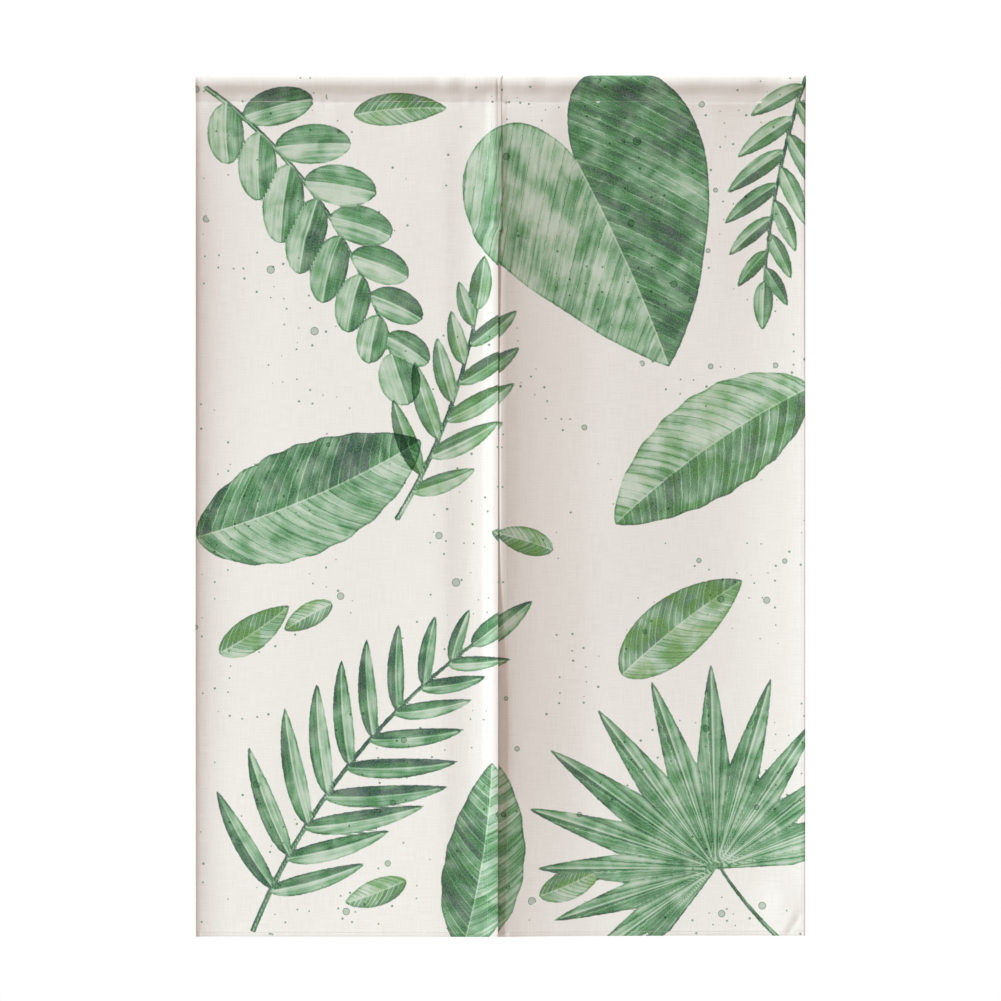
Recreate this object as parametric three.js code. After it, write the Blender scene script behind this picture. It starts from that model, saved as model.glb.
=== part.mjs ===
// Noren: a split doorway curtain of two hemmed cloth panels on an empty rod pocket, as it hangs.
// Millimetres, +X to the right, +Z up, the front faces -Y. The origin is the middle of the top fold.
import * as THREE from "three";

// Overall sizes
const WIDTH = 850;
const DROP = 1200;
const OUTER_EDGE = WIDTH / 2;

// Cloth
const CLOTH_THICK = 1.2;
const HEM_THICK = 1.8;
const EDGE_HEM = 7;
const CENTRE_HEM = 14;
const HEM_STEP = 1;
const GAP = 0.3;

// Rod pocket: the top is folded to the back and sewn down
const POCKET_DROP = 39;
const LAYER_FRONT = CLOTH_THICK + GAP / 2;

// Centre lap: the left panel's hem lies over the right panel's and is sewn to it down to JOIN_DROP
const LEFT_LAP_EDGE = 1.5;
const RIGHT_LAP_EDGE = -7.5;
const LAP_MARGIN = 1;
const LAP_CLEAR = LEFT_LAP_EDGE - RIGHT_LAP_EDGE + LAP_MARGIN;
const LAP_EASE = 22;
const LAP_STEP = HEM_THICK + GAP;
const TUCK_SLACK = 0.1;
const POCKET_TUCK = CLOTH_THICK + GAP + TUCK_SLACK;
const JOIN_DROP = 213;

// The front half of the pocket's section: how far the cloth stands out from the rod's line, by drop
const POCKET_SECTION = [
  { drop: 0, out: 0 },
  { drop: 0.9, out: 4.0 },
  { drop: 3.2, out: 7.2 },
  { drop: 8, out: 9.1 },
  { drop: 13, out: 8.5 },
  { drop: 19, out: 6.0 },
  { drop: 26, out: 3.4 },
  { drop: 32, out: 1.9 },
  { drop: 36, out: LAYER_FRONT },
  { drop: POCKET_DROP, out: LAYER_FRONT },
];
const BULGE_END = 19;
const SEWN_START = 32;

// Puckers along the pocket: how full it stands at each place, 1 being the section above
const POCKET_FULLNESS = [
  { x: -425, full: 0.96 },
  { x: -385, full: 1.02 },
  { x: -335, full: 0.97 },
  { x: -275, full: 1.03 },
  { x: -210, full: 0.98 },
  { x: -150, full: 1.02 },
  { x: -108, full: 1.0 },
  { x: -90, full: 0.92 },
  { x: -72, full: 1.01 },
  { x: -53, full: 0.9 },
  { x: -36, full: 1.0 },
  { x: -20, full: 1.03 },
  { x: -8.5, full: 1.0 },
  { x: 1.5, full: 1.0 },
  { x: 14, full: 0.94 },
  { x: 26, full: 0.97 },
  { x: 40, full: 1.03 },
  { x: 60, full: 0.93 },
  { x: 86, full: 1.02 },
  { x: 130, full: 0.98 },
  { x: 165, full: 1.02 },
  { x: 195, full: 0.92 },
  { x: 222, full: 0.93 },
  { x: 252, full: 1.02 },
  { x: 300, full: 0.98 },
  { x: 345, full: 1.03 },
  { x: 368, full: 0.91 },
  { x: 388, full: 0.95 },
  { x: 404, full: 1.03 },
  { x: 425, full: 0.98 },
];

// The panels in plan where they hang free: how far behind the rod's line the cloth is, negative in front
const LEFT_PLAN = [
  { x: -425, back: -4.2 },
  { x: -405, back: -1.4 },
  { x: -380, back: -0.6 },
  { x: -310, back: -2.4 },
  { x: -240, back: -4.0 },
  { x: -165, back: -6.6 },
  { x: -98, back: -8.7 },
  { x: -64, back: -7.2 },
  { x: -42, back: -7.8 },
  { x: -24, back: -10.2 },
  { x: -8.5, back: -12.5 },
  { x: 2, back: -12.7 },
];
const RIGHT_PLAN = [
  { x: -8, back: -12.4 },
  { x: 2, back: -12.1 },
  { x: 15, back: -9.1 },
  { x: 34, back: -5.0 },
  { x: 56, back: -1.0 },
  { x: 86, back: 3.2 },
  { x: 145, back: 7.6 },
  { x: 215, back: 11.0 },
  { x: 285, back: 13.6 },
  { x: 345, back: 14.7 },
  { x: 395, back: 13.6 },
  { x: 425, back: 11.4 },
];

// How a panel hangs by drop: the share of its plan that shows, how far it leans back, where its inner
// edge runs and how far the right panel falls behind the left one
const HANG = [
  { drop: 39, share: 0, leftLean: 0, rightLean: 0, leftEdge: 1.5, rightEdge: -7.5, apart: 0 },
  { drop: 60, share: 0.25, leftLean: 0, rightLean: 0, leftEdge: 1.5, rightEdge: -7.5, apart: 0 },
  { drop: 100, share: 0.56, leftLean: 0.2, rightLean: 0.2, leftEdge: 1.5, rightEdge: -7.5, apart: 0 },
  { drop: 160, share: 0.8, leftLean: 0.4, rightLean: 0.4, leftEdge: 1.5, rightEdge: -7.5, apart: 0 },
  { drop: JOIN_DROP, share: 0.9, leftLean: 0.6, rightLean: 0.6, leftEdge: 1.5, rightEdge: -7.5, apart: 0 },
  { drop: 250, share: 0.94, leftLean: 0.8, rightLean: 0.8, leftEdge: -1.2, rightEdge: -6.8, apart: 0.7 },
  { drop: 290, share: 0.98, leftLean: 1.0, rightLean: 0.8, leftEdge: -2.6, rightEdge: -6.2, apart: 1.0 },
  { drop: 450, share: 1.02, leftLean: 0.6, rightLean: -0.6, leftEdge: -2.8, rightEdge: -6.0, apart: 1.4 },
  { drop: 650, share: 1.04, leftLean: -0.8, rightLean: -1.6, leftEdge: -2.8, rightEdge: -6.0, apart: 1.2 },
  { drop: 850, share: 1.0, leftLean: -1.4, rightLean: 0.4, leftEdge: -2.9, rightEdge: -5.9, apart: 1.5 },
  { drop: 1050, share: 0.94, leftLean: 0.6, rightLean: 2.2, leftEdge: -3.1, rightEdge: -5.8, apart: 1.8 },
  { drop: DROP, share: 0.88, leftLean: 2.6, rightLean: 3.4, leftEdge: -3.4, rightEdge: -5.8, apart: 2.0 },
];

// Soft hollows, and swells where back is negative, each with its middle and its reach both ways
const HOLLOWS = [
  { x: -350, drop: 330, wide: 60, tall: 170, back: 1.6 },
  { x: -250, drop: 620, wide: 70, tall: 150, back: -1.5 },
  { x: -95, drop: 300, wide: 45, tall: 120, back: 1.2 },
  { x: -150, drop: 880, wide: 60, tall: 130, back: 1.7 },
  { x: -340, drop: 1020, wide: 55, tall: 110, back: -1.4 },
  { x: -18, drop: 785, wide: 14, tall: 45, back: 0.9 },
  { x: 140, drop: 140, wide: 55, tall: 50, back: 2.0 },
  { x: 300, drop: 260, wide: 60, tall: 110, back: -1.6 },
  { x: 170, drop: 560, wide: 65, tall: 140, back: -1.3 },
  { x: 330, drop: 700, wide: 60, tall: 160, back: 1.5 },
  { x: 110, drop: 960, wide: 50, tall: 130, back: 1.6 },
  { x: 395, drop: 1160, wide: 26, tall: 34, back: -2.2 },
];

// Steps of the solids, with the panels' first rows closer together, down to where the slit is fully open
const POCKET_STEP = 24;
const PANEL_STEP = 30;
const ROW_STEP = 48;
const PART_END = 290;
const TOP_ROWS = [60, 80, 105, 135, 170, JOIN_DROP, 232, 250, PART_END];

// A smooth curve through the rows of a table, read at one place.
function curveAt(rows, key, value, at) {
  const last = rows.length - 1;
  if (at <= rows[0][key]) return rows[0][value];
  if (at >= rows[last][key]) return rows[last][value];
  const i = rows.findIndex((row) => row[key] > at) - 1;
  const slope = (a, b) => (rows[b][value] - rows[a][value]) / (rows[b][key] - rows[a][key]);
  const span = rows[i + 1][key] - rows[i][key];
  const t = (at - rows[i][key]) / span;
  const startSlope = slope(Math.max(i - 1, 0), i + 1) * span;
  const endSlope = slope(i, Math.min(i + 2, last)) * span;
  const rise = rows[i + 1][value] - rows[i][value];
  const cubic = startSlope + endSlope - 2 * rise;
  const square = 3 * rise - 2 * startSlope - endSlope;
  return rows[i][value] + t * (startSlope + t * (square + t * cubic));
}

// 0 before start, 1 after end, and an even ramp between them.
function ramp(at, start, end) {
  return THREE.MathUtils.clamp((at - start) / (end - start), 0, 1);
}

// Places from start to end, both included, no further apart than step.
function evenly(start, end, step) {
  const count = Math.ceil((end - start) / step);
  return Array.from({ length: count + 1 }, (_, i) => start + ((end - start) * i) / count);
}

// A closed body through sections of the same number of points. A section's outer points run one way
// and its inner points, its other face, run beside them.
function loft(sections) {
  const pairs = sections[0].outer.length;
  const around = 2 * pairs;
  const positions = [];
  for (const { outer, inner } of sections) {
    for (const p of [...outer, ...inner.slice().reverse()]) positions.push(p.x, p.y, p.z);
  }
  const index = [];
  const quad = (a, b, c, d) => index.push(a, b, c, a, c, d);
  for (let s = 0; s < sections.length - 1; s++) {
    for (let i = 0; i < around; i++) {
      const next = (i + 1) % around;
      quad(s * around + i, (s + 1) * around + i, (s + 1) * around + next, s * around + next);
    }
  }
  const end = (sections.length - 1) * around;
  for (let i = 0; i < pairs - 1; i++) {
    const across = around - 1 - i;
    quad(i, i + 1, across - 1, across);
    quad(end + across, end + across - 1, end + i + 1, end + i);
  }
  const geometry = new THREE.BufferGeometry();
  geometry.setAttribute("position", new THREE.Float32BufferAttribute(positions, 3));
  geometry.setIndex(index);
  geometry.computeVertexNormals();
  return geometry;
}

// How much a layer gives way for the lap, from 0 to 1, by its distance from its own inner edge.
function lapShare(fromEdge) {
  return 1 - ramp(fromEdge, LAP_CLEAR, LAP_EASE);
}

// The pocket's section at x: its outer face from the front's sewn edge over the fold to the back's.
// The left pocket widens below the bulge for the lap, and the right one is tucked in above that.
function pocketSection(x, isLeft) {
  const full = curveAt(POCKET_FULLNESS, "x", "full", x);
  const front = POCKET_SECTION.slice(1)
    .reverse()
    .map(({ drop, out }) => {
      const loose = 1 - ramp(drop, BULGE_END, SEWN_START);
      return new THREE.Vector2(-out * (1 + (full - 1) * loose), -drop);
    });
  const back = front.map((p) => new THREE.Vector2(-p.x, p.y)).reverse();
  const path = [...front, new THREE.Vector2(0, 0), ...back];
  const offset = (points, distance) =>
    points.map((p, i) => {
      const before = points[Math.max(i - 1, 0)];
      const after = points[Math.min(i + 1, points.length - 1)];
      const along = after.clone().sub(before).normalize();
      return new THREE.Vector2(p.x - along.y * distance(-p.y), p.y + along.x * distance(-p.y));
    });
  const sewn = (drop) => ramp(drop, BULGE_END, SEWN_START);
  const lap = isLeft
    ? (drop) => LAP_STEP * lapShare(LEFT_LAP_EDGE - x) * sewn(drop)
    : (drop) => -POCKET_TUCK * lapShare(x - RIGHT_LAP_EDGE) * (1 - sewn(drop));
  const outer = offset(path, lap);
  const inner = offset(outer, () => -CLOTH_THICK);
  const place = (p) => new THREE.Vector3(x, p.x, p.y);
  return { outer: outer.map(place), inner: inner.map(place) };
}

// One panel's share of the rod pocket.
function makePocket(start, end, isLeft) {
  const inwards = isLeft ? -1 : 1;
  const turns = [LAP_CLEAR, LAP_EASE].map((fromEdge) => (isLeft ? end : start) + inwards * fromEdge);
  const puckers = POCKET_FULLNESS.map((row) => row.x);
  const marks = [...new Set([start, end, ...turns, ...puckers])]
    .filter((x) => x >= start && x <= end)
    .sort((a, b) => a - b);
  const stations = marks.flatMap((x, i) => (i ? evenly(marks[i - 1], x, POCKET_STEP).slice(1) : [x]));
  return loft(stations.map((x) => pocketSection(x, isLeft)));
}

// The depth that the soft hollows add at one place.
function hollowDepth(x, drop) {
  return HOLLOWS.reduce((sum, { x: middle, drop: level, wide, tall, back }) => {
    const reach = ((x - middle) / wide) ** 2 + ((drop - level) / tall) ** 2;
    return sum + back * Math.exp(-reach);
  }, 0);
}

// How far back the front face of a panel lies.
function panelFront(x, drop, fromInner, isLeft) {
  const at = (value) => curveAt(HANG, "drop", value, drop);
  const plan = curveAt(isLeft ? LEFT_PLAN : RIGHT_PLAN, "x", "back", x);
  const lap = lapShare(fromInner);
  const lean = at(isLeft ? "leftLean" : "rightLean");
  const layer = isLeft ? -LAP_STEP * lap : at("apart");
  const free = ramp(drop, POCKET_DROP, JOIN_DROP) * (1 - lap);
  return -LAYER_FRONT + at("share") * plan + lean + layer + free * hollowDepth(x, drop);
}

// One panel below the pocket, thicker over its hems.
function makePanel(isLeft) {
  const outerX = isLeft ? -OUTER_EDGE : OUTER_EDGE;
  const side = isLeft ? 1 : -1;
  const innerKey = isLeft ? "leftEdge" : "rightEdge";
  const topInner = isLeft ? LEFT_LAP_EDGE : RIGHT_LAP_EDGE;
  const wide = Math.abs(topInner - outerX);
  const body = evenly(EDGE_HEM + HEM_STEP, wide - LAP_EASE, PANEL_STEP);
  const centre = [CENTRE_HEM + HEM_STEP, CENTRE_HEM, LAP_CLEAR, LAP_CLEAR / 2, 0];
  const across = [0, EDGE_HEM, ...body, ...centre.map((fromInner) => wide - fromInner)];
  const lower = evenly(PART_END, DROP - EDGE_HEM - HEM_STEP, ROW_STEP).slice(1);
  const rows = [POCKET_DROP + GAP, ...TOP_ROWS, ...lower, DROP - EDGE_HEM, DROP];
  const sections = rows.map((drop) => {
    const drift = Math.abs(curveAt(HANG, "drop", innerKey, drop) - outerX) - wide;
    const columns = across.map((a) => {
      const pull = ramp(a, EDGE_HEM, wide - CENTRE_HEM);
      const x = outerX + side * (a + drift * pull);
      const isHem = a <= EDGE_HEM || a >= wide - CENTRE_HEM || drop >= DROP - EDGE_HEM;
      const front = new THREE.Vector3(x, panelFront(x, drop, wide - a, isLeft), -drop);
      const back = front.clone().setY(front.y + (isHem ? HEM_THICK : CLOTH_THICK));
      return { front, back };
    });
    if (!isLeft) columns.reverse();
    return { outer: columns.map((c) => c.front), inner: columns.map((c) => c.back) };
  });
  return loft(sections);
}

// A named piece of off-white cloth.
function cloth(name, geometry, colour) {
  const material = new THREE.MeshStandardMaterial({ color: colour, roughness: 0.9, metalness: 0 });
  const mesh = new THREE.Mesh(geometry, material);
  mesh.name = name;
  return mesh;
}

const noren = new THREE.Group();
noren.add(cloth("pocket_left", makePocket(-OUTER_EDGE, LEFT_LAP_EDGE, true), 0xe6e0d9));
noren.add(cloth("pocket_right", makePocket(RIGHT_LAP_EDGE, OUTER_EDGE, false), 0xe2dbd4));
noren.add(cloth("panel_left", makePanel(true), 0xece7e1));
noren.add(cloth("panel_right", makePanel(false), 0xe4ded7));

export default noren;
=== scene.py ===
"""Looks of a noren: two printed cloth panels, lapped and sewn at the top, hanging from an empty rod pocket.

Sizes are in millimetres, as a sewer measures them, and METRE turns them into the frame's metres.
X runs to the right, Z up, and the front faces -Y. A drop is measured down from the top fold.
"""
import logging
import math
from dataclasses import asdict, dataclass, replace
from enum import Enum
from functools import reduce

import bpy
import numpy as np
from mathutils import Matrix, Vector


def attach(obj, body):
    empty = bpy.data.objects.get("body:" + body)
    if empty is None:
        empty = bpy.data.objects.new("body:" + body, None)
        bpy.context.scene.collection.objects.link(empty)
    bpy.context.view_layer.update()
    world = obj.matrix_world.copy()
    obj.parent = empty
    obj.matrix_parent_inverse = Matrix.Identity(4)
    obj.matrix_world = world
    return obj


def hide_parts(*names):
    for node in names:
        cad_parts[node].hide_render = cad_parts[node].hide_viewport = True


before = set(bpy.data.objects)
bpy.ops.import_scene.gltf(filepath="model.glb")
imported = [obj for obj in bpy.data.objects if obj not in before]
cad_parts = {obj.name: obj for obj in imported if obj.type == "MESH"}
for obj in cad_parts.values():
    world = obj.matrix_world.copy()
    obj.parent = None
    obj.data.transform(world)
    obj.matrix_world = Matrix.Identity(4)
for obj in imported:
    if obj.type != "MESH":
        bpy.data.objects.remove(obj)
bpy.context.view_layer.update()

METRE = 0.001
LOG = logging.getLogger("noren")

# Driving sizes, the same as the construction's
WIDTH = 850.0
DROP = 1200.0
OUTER_EDGE = WIDTH / 2
POCKET_DROP = 39.0
LAYER_FRONT = 1.35
LEFT_LAP_EDGE = 1.5
RIGHT_LAP_EDGE = -7.5
LAP_CLEAR = 10.0
LAP_EASE = 22.0
JOIN_DROP = 213.0

# Cloth as sewn
CLOTH_THICK = 0.6
HEM_THICK = 1.05
SIDE_HEM = 7.0
CENTRE_HEM = 16.0
BOTTOM_HEM = 7.5
LAYER_GAP = 0.1
LAP_STEP = HEM_THICK + LAYER_GAP
BULGE_END = 19.0
SEWN_START = 32.0

# Seams: how far each line of stitches runs from its edge or from the top
POCKET_SEAM = 36.0
SIDE_SEAM = 5.6
CENTRE_SEAM = 14.8
LAP_SEAM = 5.9
BOTTOM_SEAM = 6.0

# Unevenness: how many random heights it repeats, and the one at place 0
HEIGHT_COUNT = 512
HEIGHT_START = 200


class Side(Enum):
    """Which panel of the two, by the side on which it hangs."""

    LEFT = -1
    RIGHT = 1


def ramp(at: np.ndarray, start: float, end: float) -> np.ndarray:
    """A smooth step.

    Args:
        at: Places to read.
        start: Where the step is still 0.
        end: Where it has reached 1.

    Returns:
        The step's height at each place.
    """
    share = np.clip((np.asarray(at, float) - start) / (end - start), 0.0, 1.0)
    return share * share * (3 - 2 * share)


def line(at: np.ndarray, start: float, end: float) -> np.ndarray:
    """The straight counterpart of ramp.

    Args:
        at: Places to read.
        start: Where the slope begins at 0.
        end: Where it ends at 1.

    Returns:
        The height at each place.
    """
    return np.clip((np.asarray(at, float) - start) / (end - start), 0.0, 1.0)


@dataclass(frozen=True)
class Step:
    """A step from one value to another between two places."""

    start: float
    end: float
    low: float = 0.0
    high: float = 1.0

    def at(self, where: np.ndarray) -> np.ndarray:
        """Its height at each place, eased in and out."""
        return self.low + (self.high - self.low) * ramp(where, self.start, self.end)


@dataclass(frozen=True)
class Curve:
    """A smooth curve through given points (place, value)."""

    points: tuple[tuple[float, float], ...]

    def at(self, where: np.ndarray) -> np.ndarray:
        """Reads the curve.

        Args:
            where: Places to read, held to the curve's ends.

        Returns:
            The value at each place.
        """
        place, value = (np.array(column, float) for column in zip(*self.points))
        before = np.r_[0, np.arange(len(place) - 1)]
        after = np.r_[np.arange(1, len(place)), len(place) - 1]
        slope = (value[after] - value[before]) / (place[after] - place[before])
        where = np.clip(np.asarray(where, float), place[0], place[-1])
        i = np.clip(np.searchsorted(place, where, side="right") - 1, 0, len(place) - 2)
        span = place[i + 1] - place[i]
        t = (where - place[i]) / span
        rise = value[i + 1] - value[i]
        start, end = slope[i] * span, slope[i + 1] * span
        return value[i] + t * (start + t * (3 * rise - 2 * start - end + t * (start + end - 2 * rise)))


@dataclass(frozen=True)
class Unevenness:
    """Smooth unevenness of hand-sewn cloth along one direction."""

    seed: int
    wave: float
    depth: float

    def at(self, where: np.ndarray) -> np.ndarray:
        """Reads it.

        Args:
            where: Places along the direction, in mm.

        Returns:
            The offset at each place, between -depth and depth.
        """
        heights = np.random.default_rng(self.seed).uniform(-1, 1, HEIGHT_COUNT)
        spot = np.asarray(where, float) / self.wave + HEIGHT_START
        i = np.floor(spot).astype(int)
        t = spot - i
        t = t * t * (3 - 2 * t)
        return self.depth * (heights[i % HEIGHT_COUNT] * (1 - t) + heights[(i + 1) % HEIGHT_COUNT] * t)


@dataclass(frozen=True)
class Hollow:
    """A soft hollow, or a swell where back is negative."""

    x: float
    drop: float
    wide: float
    tall: float
    back: float

    def at(self, x: np.ndarray, drop: np.ndarray) -> np.ndarray:
        """Its depth at each place."""
        off = ((x - self.x) / self.wide) ** 2 + ((drop - self.drop) / self.tall) ** 2
        return self.back * np.exp(-off)


@dataclass(frozen=True)
class Crease:
    """A short crease from one place to another, a ridge where back is negative."""

    x: float
    drop: float
    to_x: float
    to_drop: float
    wide: float
    back: float

    def at(self, x: np.ndarray, drop: np.ndarray) -> np.ndarray:
        """Its depth.

        Args:
            x: Places across the cloth.
            drop: Places down the cloth.

        Returns:
            The depth at each place.
        """
        run = np.array([self.to_x - self.x, self.to_drop - self.drop])
        long = np.hypot(*run)
        along = ((x - self.x) * run[0] + (drop - self.drop) * run[1]) / long
        off = ((x - self.x) * run[1] - (drop - self.drop) * run[0]) / long
        past = np.maximum(np.maximum(-along, along - long), 0)
        return self.back * np.exp(-((off / self.wide) ** 2) - (past / (2 * self.wide)) ** 2)


@dataclass(frozen=True)
class Groove:
    """A rounded groove along a line of stitches."""

    deep: float
    wide: float

    def at(self, off: np.ndarray) -> np.ndarray:
        """Its depth by the distance from the line."""
        return self.deep * np.exp(-((off / self.wide) ** 2))


@dataclass(frozen=True)
class Roll:
    """An edge that rolls back, or forwards where deep is negative."""

    deep: float
    reach: float
    power: float = 1.0

    def at(self, inside: np.ndarray) -> np.ndarray:
        """How far back the cloth lies by the distance from the edge."""
        return self.deep * np.clip(1 - inside / self.reach, 0, 1) ** self.power


@dataclass(frozen=True)
class Pucker:
    """Unevenness along a seam that fades to both sides of a line beside it."""

    uneven: Unevenness
    wide: float
    middle: float = 0.0

    def at(self, along: np.ndarray, off: np.ndarray) -> np.ndarray:
        """How far back the cloth lies by the place along the seam and the distance from it."""
        return self.uneven.at(along) * np.exp(-(((off - self.middle) / self.wide) ** 2))


# The front of the pocket's section, by the square root of its share of the pocket's drop, and puckers
POCKET_SECTION = Curve((
    (0.0, 0.0), (0.152, 4.0), (0.286, 7.2), (0.453, 9.1), (0.577, 8.9), (0.66, 7.6), (0.75, 5.4),
    (0.83, 3.4), (0.906, 2.1), (0.961, LAYER_FRONT), (1.0, LAYER_FRONT),
))
POCKET_FULLNESS = Curve((
    (-425, 0.96), (-385, 1.02), (-335, 0.97), (-275, 1.03), (-210, 0.98), (-150, 1.02), (-108, 1.0),
    (-90, 0.92), (-72, 1.01), (-53, 0.9), (-36, 1.0), (-20, 1.03), (-8.5, 1.0), (1.5, 1.0), (14, 0.94),
    (26, 0.97), (40, 1.03), (60, 0.93), (86, 1.02), (130, 0.98), (165, 1.02), (195, 0.92), (222, 0.93),
    (252, 1.02), (300, 0.98), (345, 1.03), (368, 0.91), (388, 0.95), (404, 1.03), (425, 0.98),
))

# The panels in plan, and how they hang by drop
LEFT_PLAN = Curve((
    (-425, -4.2), (-405, -1.4), (-380, -0.6), (-310, -2.4), (-240, -4.0), (-165, -6.6), (-110, -8.4),
    (-80, -9.0), (-60, -8.2), (-44, -8.0), (-30, -9.0), (-18, -10.5), (-8.5, -12.1), (2, -12.4),
))
RIGHT_PLAN = Curve((
    (-8, -12.6), (2, -12.1), (24, -7.3), (38, -4.65), (52, -2.35), (72, 0.45), (94, 3.1), (122, 5.9),
    (155, 7.9), (215, 10.8), (285, 13.5), (345, 14.7), (395, 13.6), (425, 11.4),
))
SHARE = Curve((
    (39, 0), (60, 0.25), (100, 0.56), (160, 0.8), (213, 0.9), (250, 0.94), (290, 0.98), (450, 1.02),
    (650, 1.04), (850, 1.0), (1050, 0.94), (1200, 0.88),
))
LEFT_LEAN = Curve((
    (39, 0), (60, 0), (100, 0.2), (160, 0.4), (213, 0.6), (250, 0.8), (290, 1.0), (450, 0.6), (650, -0.8),
    (850, -1.4), (1050, 0.6), (1200, 2.6),
))
RIGHT_LEAN = Curve((
    (39, 0), (60, 0), (100, 0.2), (160, 0.4), (213, 0.6), (250, 0.8), (290, 0.8), (450, -0.6),
    (650, -1.6), (850, 0.4), (1050, 2.2), (1200, 3.4),
))
LEFT_EDGE = Curve((
    (39, 1.5), (100, 1.5), (160, 1.5), (204, 1.5), (212, 1.2), (224, -2.3), (236, -3.1), (290, -3.2),
    (450, -3.3), (650, -3.3), (850, -3.4), (1050, -3.5), (1200, -3.7),
))
RIGHT_EDGE = Curve((
    (39, -7.5), (100, -7.5), (160, -7.5), (213, -7.5), (250, -6.8), (290, -6.2), (450, -6.0),
    (650, -6.0), (850, -5.9), (1050, -5.8), (1200, -5.8),
))
APART = Curve((
    (39, 0), (160, 0), (208, 0), (240, 0.8), (290, 0.9), (450, 0.9), (650, 0.8), (850, 1.0), (1050, 1.2),
    (1200, 1.4),
))
HOLLOWS = (
    Hollow(-350, 330, 60, 170, 1.6), Hollow(-250, 620, 70, 150, -1.5), Hollow(-95, 300, 45, 120, 1.2),
    Hollow(-150, 880, 60, 130, 1.7), Hollow(-340, 1020, 55, 110, -1.4), Hollow(-18, 785, 14, 45, 0.9),
    Hollow(140, 140, 55, 50, 2.0), Hollow(300, 260, 60, 110, -1.6), Hollow(170, 560, 65, 140, -1.3),
    Hollow(330, 700, 60, 160, 1.5), Hollow(110, 960, 50, 130, 1.6), Hollow(395, 1160, 26, 34, -2.2),
)
CREASES = (
    Crease(404, 1193, 415, 1176, 2.7, 0.65),
    Crease(395, 1190, 406, 1171, 6.0, -0.45),
)

# What the sewing does to the cloth's face. The hems rise, and the stitches sink into it.
HEM_BANDS = tuple(Step(hem - 1, hem + 1.2, 0.22, 0) for hem in (SIDE_HEM, CENTRE_HEM, BOTTOM_HEM))
JOINED = Step(JOIN_DROP - 4, JOIN_DROP + 4, 1, 0)
GATHERED = Step(POCKET_SEAM - 3, POCKET_SEAM + 3, 1, 0)
SEAM_GROOVE = Groove(0.26, 1.1)
GATHER_GROOVE = Groove(0.3, 1.1)
POCKET_GROOVE = {Side.LEFT: Groove(0.5, 1.3), Side.RIGHT: Groove(0.3, 1.3)}
POCKET_PUCKER = Pucker(Unevenness(5, 9.0, 0.3), 7.0)
POCKET_SAG = Pucker(Unevenness(6, 23.0, 0.5), 22.0, 12.0)
SIDE_PULL = Pucker(Unevenness(7, 16.0, 0.12), 6.0)
CENTRE_PULL = Pucker(Unevenness(8, 19.0, 0.12), 7.0)
BOTTOM_PULL = Pucker(Unevenness(9, 17.0, 0.15), 7.0)

# How the edges roll. The lapped one is pressed flat, and the right panel tucks behind it below the join.
INNER_ROLL = Roll(0.25, 1.0, 2)
BOTTOM_ROLL = Roll(0.55, 4.2, 1.4)
LEFT_ROLL = Roll(-0.85, 4.4, 1.3)
RIGHT_ROLL = Roll(1.0, 1.9, 1.5)
RIGHT_TURN = Step(60, 460, 1.4, 0.5)
LAP_PRESS = Roll(0.75, 8.0)
TUCK = Roll(1.1, 2.5)
TUCK_START = -0.3

# A shallow valley in the right panel, beside the lap and below the pocket
VALLEY_TOP = Step(POCKET_SEAM + 1, POCKET_SEAM + 24)
VALLEY_END = Step(JOIN_DROP - 40, JOIN_DROP + 4, 1, 0)
VALLEY_FAR = Step(18, 95, 0.9, 0)
VALLEY_START = 8.5
VALLEY_FULL = 15.5

# The pocket: how its layers ease over the fold, and how much of the relief shows on it
BELOW_POCKET = 2.0
LAP_TURN = 6.0
FOLD_TURN = 2.5
BACK_RELIEF = 0.5
FOLD_RELIEF = Step(0.1, 0.5)

# Leaves: how little a midrib bends to be drawn straight, how a stem narrows, how veins sweep forwards, how
# near to its ends a leaf is read, how often its outline waves, and a heart leaf's reach round its stalk
STRAIGHT = 1e-6
STEM_TAPER = 0.4
VEIN_SWEEP = 0.75
TIP = 1e-4
RUFFLE_WAVE = 7.0
HEART_REACH = Curve((
    (0, 1.0), (0.2, 0.84), (0.5, 0.68), (0.9, 0.6), (1.3, 0.58), (1.8, 0.57), (2.3, 0.52), (2.75, 0.38),
    (3.0, 0.17), (math.pi, 0.06),
))
HEART_BROAD = 1.25
HEART_SWEEP = 1.12
ANGLE_STEP = 0.01


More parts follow.
